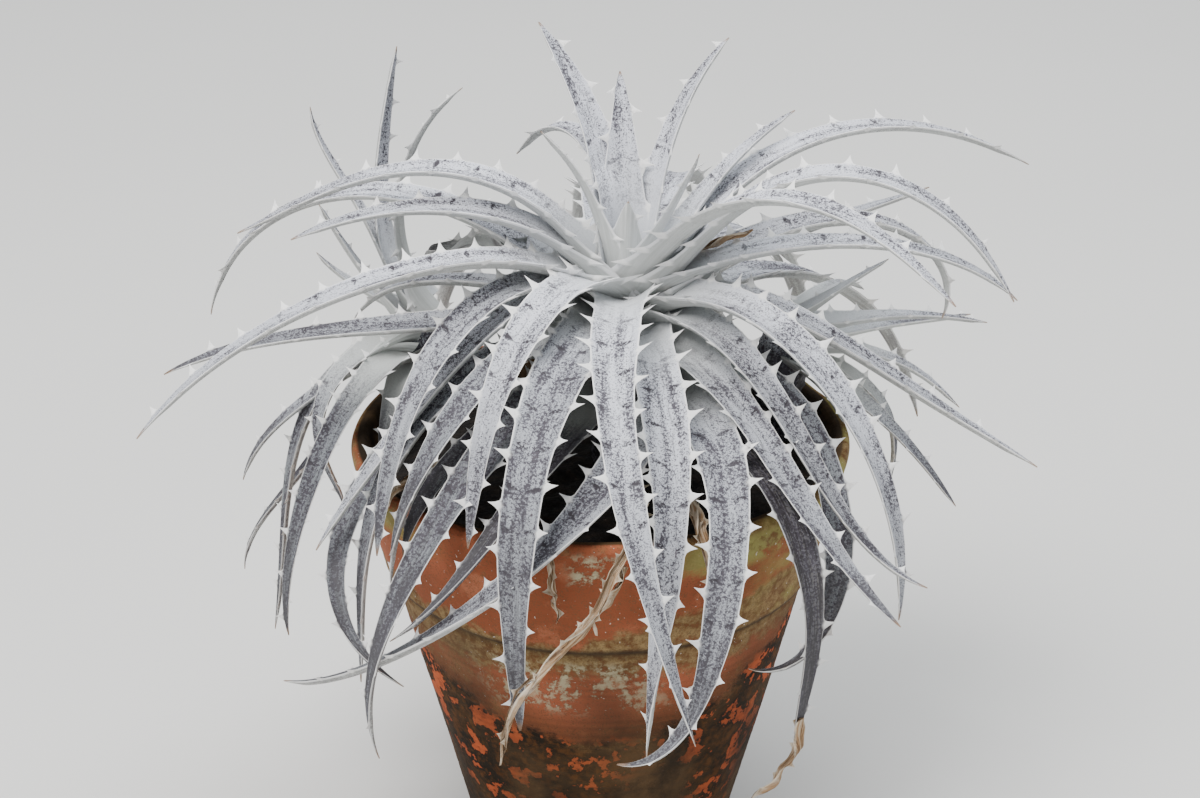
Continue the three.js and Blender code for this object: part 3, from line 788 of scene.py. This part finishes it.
def leaf_finish(name):
    """Silver scales over a dark grey leaf. Wear grows with age, and a painted shade grows
    along the leaf towards its lower, hanging end: together they dull the silver and
    thicken its dots and rubbed flecks, which lie in clusters and bands. Wear bares old
    leaves in long streaks, and the hanging ends darken in streaks of painted shade,
    partly the old leaves' own darker tone. Rows of tooth prints lie inside both
    margins, the lower face is plainer, and the margins and teeth are bright."""
    p = Paint(name)
    along, x, edge = p.attribute("blade")
    age, under, tooth = p.attribute("finish")
    share, seed, _ = p.attribute("growth")
    place = (along, x, seed)
    streaks = p.drawn_noise(place, (0.05, 0.9, 40.0), 4.0, 0.6)
    smears = p.drawn_noise(place, (0.06, 0.28, 60.0), 5.0, 0.7)
    bands = p.drawn_noise(place, (0.03, 0.3, 50.0), 3.0, 0.5)
    soft = p.drawn_noise(place, (0.03, 1.1, 90.0), 4.0, 0.65)
    clusters = p.noise(90.0, 3.0, 0.6)
    dots = p.noise(1700.0, 2.0, 0.6)
    flecks = p.noise(950.0, 2.0, 0.6)
    away = along.step(16.0, 60.0)
    # Wear from age, plus painted shade that grows along the leaf towards its tip.
    wear_and_tip_shade = (age * 1.1 + share * 0.3).clip()
    middle = edge.step(1.0, 0.45)

    # The silver, clean in the sheath, duller with wear and darker with the painted shade along
    # the leaf.
    silver = p.mix(FRESH_SILVER, WORN_AND_SHADED_SILVER, (wear_and_tip_shade * 1.4).clip())
    silver = p.mix(silver, OLD_SILVER, ((age - 0.55) * 2.0).clip())
    silver = p.mix(silver, SHEATH_SILVER, (1 - away) * (0.5 + age).least(0.9))
    cloud = bands.step(0.38, 0.66)
    silver = p.mix(silver, CLOUD_GREY, cloud * (0.1 + 0.5 * wear_and_tip_shade) * away)

    # Dots, rubbed flecks, scuffs, bare streaks, and streaks of painted shade on the hanging
    # ends, partly their own darker tone.
    thick = 0.36 * (bands - 0.5) + 0.2 * (clusters - 0.5) + 0.02 * middle + 0.1 * wear_and_tip_shade
    dust = (dots + thick).step(0.56, 0.63) * (0.1 + 0.75 * away)
    colour = p.mix(silver, DOT_GREY, dust)
    rubbed = (flecks + 1.6 * thick).step(0.66, 0.7) * away * 0.9
    colour = p.mix(colour, FLECK_GREY, rubbed)
    scuffs = (smears + 0.2 * (flecks - 0.5)).step(0.66, 0.675) * away * middle.most(0.3)
    colour = p.mix(colour, SCUFF_MAUVE, scuffs * 0.8)
    bare = (streaks + 0.3 * (flecks - 0.5)).step(0.46, 0.58)
    bare = (bare * (age - 0.3) * 1.25).clip() * away
    colour = p.mix(colour, BARE_LEAF, bare)
    # Painted shade on the lower, hanging part of each leaf, stronger on older leaves and
    # partly their own darker tone.
    hanging_shade = share.step(0.4, 0.95) * (0.15 + age * 1.5).least(0.9)
    colour = p.mix(colour, HANGING_SHADE_GREY, (hanging_shade * streaks.step(0.3, 0.56)).clip())

    # Tooth prints: rounded outlines with a tick between, one for each spacing.
    u = ((along / TOOTH_SPACING + seed * 7.0).fraction() - 0.5) * TOOTH_SPACING
    v = abs(x + 2.0 * (seed - 0.5)) - 4.1 + 0.8 * (smears - 0.5)
    arch = (abs(u / 6.3) ** 3.0 + abs(v / 2.7) ** 3.0) ** 0.333
    outline = abs(arch - 1.0).step(0.16, 0.03) * p.noise(190.0, 2.0, 0.5).step(0.4, 0.6)
    tick = (abs(u - 6.6 + 0.3 * v) + 0.36 * abs(v - 0.6)).step(1.5, 1.0)
    tick = tick * (flecks + 1.2 * (clusters - 0.5)).step(0.42, 0.5)
    inside = edge.step(0.93, 0.8) * away * share.step(0.85, 0.6)
    prints = (outline * 0.4 + tick * 0.8).clip() * inside
    colour = p.mix(colour, PRINT_GREY, prints)

    # The lower face.
    below = p.mix(LOWER_PALE, LOWER_GREY, soft.step(0.35, 0.7))
    below = p.mix(below, LOWER_WORN_AND_SHADED, (wear_and_tip_shade * streaks.step(0.35, 0.7)).clip())
    below = p.mix(below, LOWER_FLECK, (dust + rubbed).clip() * (0.2 + 0.6 * age))
    colour = p.mix(colour, below, under * edge.step(0.99, 0.9))

    # Bright margins and teeth, some of them brown at the point, as the leaf's tip is.
    rim = edge.step(0.91, 0.96) * away.most(0.6)
    bright = (rim * (0.9 - 0.4 * age)).most(tooth.step(0.01, 0.14) * (1 - 0.2 * age))
    colour = p.mix(colour, MARGIN_WHITE, bright.clip())
    tips = tooth.step(0.82, 1.0) * p.noise(60.0).step(0.5, 0.66)
    tips = tips.most(share.step(0.965, 0.99))
    colour = p.mix(colour, TIP_BROWN, tips * 0.7)

    height = dots * 0.3 + streaks * 0.4 * away - prints - rubbed * 0.4
    return p.finish(colour, 0.6 + 0.2 * dots, height, 0.0005, 0.7, specular=0.3)


STRAW_PALE = tint(206, 190, 168)
STRAW_DARK = tint(160, 128, 94)
FIBRE_BROWN = tint(78, 54, 36)
BLEACHED_STRAW = tint(206, 194, 178)
DRY_MARGIN = tint(222, 212, 192)


def dead_leaf_finish(name):
    """Dry straw-coloured leaf with long brown fibres, bleached patches and pale
    margins."""
    p = Paint(name)
    along, x, edge = p.attribute("blade")
    _, seed, _ = p.attribute("growth")
    fibres = p.drawn_noise((along, x, seed), (0.04, 3.0, 30.0), 5.0, 0.75)
    patches = p.noise(110.0, 3.0, 0.6)
    colour = p.mix(STRAW_PALE, STRAW_DARK, fibres.step(0.36, 0.54))
    colour = p.mix(colour, FIBRE_BROWN, fibres.step(0.53, 0.62) * 0.9)
    colour = p.mix(colour, BLEACHED_STRAW, patches.step(0.5, 0.68) * 0.6)
    colour = p.mix(colour, DRY_MARGIN, edge.step(0.86, 1.0) * 0.7)
    height = fibres + 0.4 * p.noise(900.0)
    return p.finish(colour, 0.75 + 0.1 * fibres, height, 0.0008, specular=0.3)


CLAY_RED = tint(164, 92, 64)
CLAY_BROWN = tint(134, 74, 48)
CLAY_PALE = tint(190, 120, 88)
DIRT_DARK = tint(88, 66, 38)
DIRT_KHAKI = tint(142, 124, 84)
GRAIN_BROWN = tint(96, 76, 52)
ALGAE_GREEN = tint(150, 146, 84)
LIME_CREAM = tint(182, 176, 146)
LIME_WHITE = tint(214, 208, 196)
MOULD_EDGE = tint(78, 50, 22)
MOULD_BLACK = tint(14, 9, 2)
MOULD_BROWN = tint(62, 38, 10)
MOULD_RUST = tint(108, 62, 20)
ISLAND_ORANGE = tint(196, 92, 50)
# Painted shadow under the rim.
RIM_SHADOW_BROWN = tint(44, 32, 20)
# Painted shade on the inside of the wall.
INSIDE_SHADE_DARK = tint(46, 36, 25)
INSIDE_SHADE_BROWN = tint(84, 64, 42)


def clay_finish(name):
    """Weathered terracotta under khaki dirt: clean red clay round the middle of the
    rim and in a band below it, lime and algae under the lip, lime below the rim,
    black mould with orange islands on the lower wall, a painted shadow under the rim,
    and an inside painted dark as shade."""
    p = Paint(name)
    x, y, z = p.split(p.place)
    high = z / MM
    large = p.noise(14.0, 4.0, 0.6)
    middling = p.noise(48.0, 5.0, 0.65)
    fine = p.noise(260.0, 4.0, 0.7)
    grain = p.noise(1400.0, 2.0, 0.6)
    dirt = p.noise(24.0, 6.0, 0.7, distort=0.3)

    # Clay, and the dirt that covers it where it isn't clean.
    clay = p.mix(CLAY_RED, CLAY_BROWN, large.step(0.38, 0.62))
    clay = p.mix(clay, CLAY_PALE, middling.step(0.55, 0.72) * 0.6)
    khaki = p.mix(DIRT_DARK, DIRT_KHAKI, fine.step(0.36, 0.64))
    right = x.step(0.0, 0.035)
    flank = x.step(0.015, 0.045).most((0 - x).step(0.055, 0.085) * 0.8)
    clean = high - 12.0 * right + 30.0 * (large - 0.5) + 26.0 * (middling - 0.5)
    clean = (clean + 8.0 * (fine - 0.5)).step(RIM_FOOT + 4, RIM_FOOT + 16)
    below_lip = (high + 6.0 * (dirt - 0.5)).step(POT_HEIGHT - 11, POT_HEIGHT - 18)
    clean = clean * below_lip.most(1 - flank)
    clean = clean.most(high.step(72.0, 80.0) * high.step(120.0, 104.0) * 0.8)
    cover = 0.6 * (dirt - 0.5) + 0.25 * (fine - 0.5) - 0.26 * clean + 0.6
    colour = p.mix(clay, khaki, cover.step(0.4, 0.56) * 0.85)
    colour = p.mix(colour, GRAIN_BROWN, (grain + 0.4 * fine).step(0.74, 0.84) * 0.6)

    # Algae and lime, in a band under the lip and in patches.
    band = high.step(POT_HEIGHT - 22, POT_HEIGHT - 15)
    band = band * high.step(POT_HEIGHT - 1, POT_HEIGHT - 7)
    algae = band * flank * (dirt + 0.25 * fine).step(0.5, 0.62)
    side = x.step(0.05, 0.08) * high.step(RIM_FOOT - 1, RIM_FOOT + 9)
    algae = algae.most(side * middling.step(0.4, 0.6) * 0.9)
    colour = p.mix(colour, ALGAE_GREEN, algae * 0.85)
    lime = (middling + 0.5 * (fine - 0.5)).step(0.5, 0.58)
    lip_spot = abs(x / MM - 2.0).step(17.0, 9.0) * band
    below_rim = high.step(90.0, 97.0) * high.step(RIM_FOOT - 4, RIM_FOOT - 10)
    below_rim = below_rim * abs(x + 0.01).step(0.045, 0.02)
    crust = lime * lip_spot.most(below_rim * 0.85)
    colour = p.mix(colour, LIME_CREAM, crust * fine.step(0.35, 0.6) * 0.9)
    colour = p.mix(colour, LIME_WHITE, p.noise(700.0, 1.0).step(0.73, 0.78) * 0.7)

    # Mould below a line that rises to both sides, with islands of clay in it.
    mould_line = high - 5600.0 * (x + 0.005) ** 2.0 + 20.0 * (large - 0.5)
    mould_line = mould_line + 18.0 * (middling - 0.5)
    mould = (mould_line + 16.0 * (fine - 0.5)).step(79.0, 71.0)
    colour = p.mix(colour, MOULD_EDGE, mould_line.step(96.0, 76.0) * 0.6)
    patch = p.noise(115.0, 4.0, 0.6)
    island = (patch + 0.2 * (large - 0.5)).step(0.535, 0.56)
    dark = p.mix(MOULD_BLACK, MOULD_BROWN, (0.6 * middling + 0.4 * fine).step(0.45, 0.62))
    dark = p.mix(dark, MOULD_RUST, patch.step(0.5, 0.42) * fine.step(0.4, 0.6) * 0.6)
    dark = p.mix(dark, ISLAND_ORANGE, island * (0.5 + 0.5 * fine.step(0.35, 0.5)))
    colour = p.mix(colour, dark, mould)

    # Painted shadow in the seam under the rim, and painted shade on the inside of the wall.
    rim_shadow = abs(high - RIM_FOOT + 3.0 * (middling - 0.5)).step(3.5, 0.4)
    colour = p.mix(colour, RIM_SHADOW_BROWN, rim_shadow * 0.9)
    away = (x * x + y * y) ** 0.5 / MM
    inner = (away - (high - RIM_FOOT) * RIM_SLOPE).step(84.6, 83.0)
    # Painted shade: the inside of the wall is dark brown, varied by the dirt noise.
    inside = p.mix(INSIDE_SHADE_DARK, INSIDE_SHADE_BROWN, dirt.step(0.4, 0.65))
    colour = p.mix(colour, inside, inner)

    height = grain * 0.25 + fine * 0.7 + crust * 0.8 - mould * (1 - island) * 0.5
    return p.finish(colour, 0.86 + 0.1 * fine, height, 0.0007, 0.8, specular=0.2)


SOIL_BLACK = tint(16, 12, 9)
SOIL_BROWN = tint(46, 35, 26)
GRIT_GREY = tint(104, 92, 76)


def soil_finish(name):
    """Dark damp potting soil with paler grit."""
    p = Paint(name)
    clods = p.noise(120.0, 6.0, 0.7)
    grit = p.cells(420.0)
    colour = p.mix(SOIL_BLACK, SOIL_BROWN, clods.step(0.4, 0.66))
    colour = p.mix(colour, GRIT_GREY, grit.step(0.18, 0.1) * clods.step(0.54, 0.64))
    return p.finish(colour, 0.95, clods + 0.3 * grit, 0.002)


FLOOR_PALE = tint(226, 225, 222)
FLOOR_GREY = tint(218, 217, 214)


def floor_finish(name):
    """Pale matt floor, a little uneven in tone."""
    p = Paint(name)
    soft = p.noise(3.0, 2.0)
    return p.finish(p.mix(FLOOR_PALE, FLOOR_GREY, soft), 0.85, soft, 0.0002, 0.1)


# ---- making everything -------------------------------------------------------------

silver_leaf = leaf_finish("silver_leaf")
dry_leaf = dead_leaf_finish("dry_leaf")
clay = clay_finish("weathered_clay")
soil = soil_finish("damp_soil")


def leaf_skins(rows, rosette, group, sheath_share):
    """The skins of a table of leaves, each with a seed of its own."""
    return [
        leaf_skin(name, leaf_from(row, rosette), SEEDS[group] + number, sheath_share)
        for number, (name, row) in enumerate(rows.items())
    ]


for node, skin in zip(LEAVES, leaf_skins(LEAVES, "main", "main", MAIN_SHEATH)):
    add_piece(joined(node + "_grown", [skin]), silver_leaf, [node])

heart = leaf_skins(HEART_LEAVES, "main", "heart", MAIN_SHEATH)
heart.append(stem_skin("heart_stem", "main"))
add_piece(joined("heart_of_rosette", heart), silver_leaf, ["crown"])

for side, rows in (("left", LEFT_OFFSET_LEAVES), ("right", RIGHT_OFFSET_LEAVES)):
    skins = leaf_skins(rows, side, side, OFFSET_SHEATH)
    skins.append(stem_skin("stem_" + side, side))
    add_piece(joined(f"offset_{side}_grown", skins), silver_leaf,
              ["offset_" + side])

for number, (name, row) in enumerate(DEAD_LEAVES.items()):
    strands = []
    for width in STRAND_WIDTHS:
        seed = SEEDS["dead"] + 10 * number + width
        strand = dead_leaf_from(row, width)
        strands.append(leaf_skin(name, strand, seed, DRY_SHEATH, DRY_CRUMPLE))
    add_piece(joined(name + "_dry", strands), dry_leaf, [name])

for number, (name, row) in enumerate(SHREDS.items()):
    seed = SEEDS["shred"] + number
    shred = leaf_skin(name, shred_from(row), seed, DRY_SHEATH, DRY_CRUMPLE)
    add_piece(shred, silver_leaf if name == "dry_curl" else dry_leaf)

add_piece(pot_skin(), clay, ["pot"])
add_piece(soil_skin(), soil, ["soil"])

# ---- floor, light and camera --------------------------------------------------------

FLOOR_REACH = 6  # metres from the middle to the floor's edges
LIGHTS_AIM = (0, 0, 0.19)

floor_mesh = bpy.data.meshes.new("floor")
floor_mesh.from_pydata(
    [(x * FLOOR_REACH, y * FLOOR_REACH, 0) for x, y in ((-1, -1), (1, -1), (1, 1), (-1, 1))],
    [], [(0, 1, 2, 3)],
)
floor_mesh.materials.append(floor_finish("pale_floor"))
floor = bpy.data.objects.new("floor", floor_mesh)
scene.collection.objects.link(floor)

world = bpy.data.worlds.new("studio")
world.use_nodes = True
world.node_tree.nodes["Background"].inputs["Color"].default_value = (0.93, 0.96, 1, 1)
world.node_tree.nodes["Background"].inputs["Strength"].default_value = 0.5
scene.world = world


def soft_light(name, place, size, power, colour):
    """A square area light that faces the middle of the plant."""
    data = bpy.data.lights.new(name, "AREA")
    data.size = size
    data.energy = power
    data.color = colour
    light = bpy.data.objects.new(name, data)
    scene.collection.objects.link(light)
    away = np.array(place, float) - np.array(LIGHTS_AIM)
    flat = math.hypot(away[0], away[1])
    light.location = place
    light.rotation_euler = (math.atan2(flat, away[2]), 0, math.atan2(away[0], -away[1]))


soft_light("key_light", (-0.8, -1.0, 2.3), size=1.3, power=85, colour=(1, 0.98, 0.96))
soft_light("top_light", (0.6, 0.5, 2.3), size=1.5, power=47, colour=(0.93, 0.97, 1))

camera_data = bpy.data.cameras.new("camera")
camera_data.sensor_width = 36
camera_data.lens = 89.5
camera = bpy.data.objects.new("camera", camera_data)
scene.collection.objects.link(camera)
camera.location = (0, -1.074, 0.6933)
camera.rotation_euler = (math.radians(65), 0, 0)
scene.camera = camera
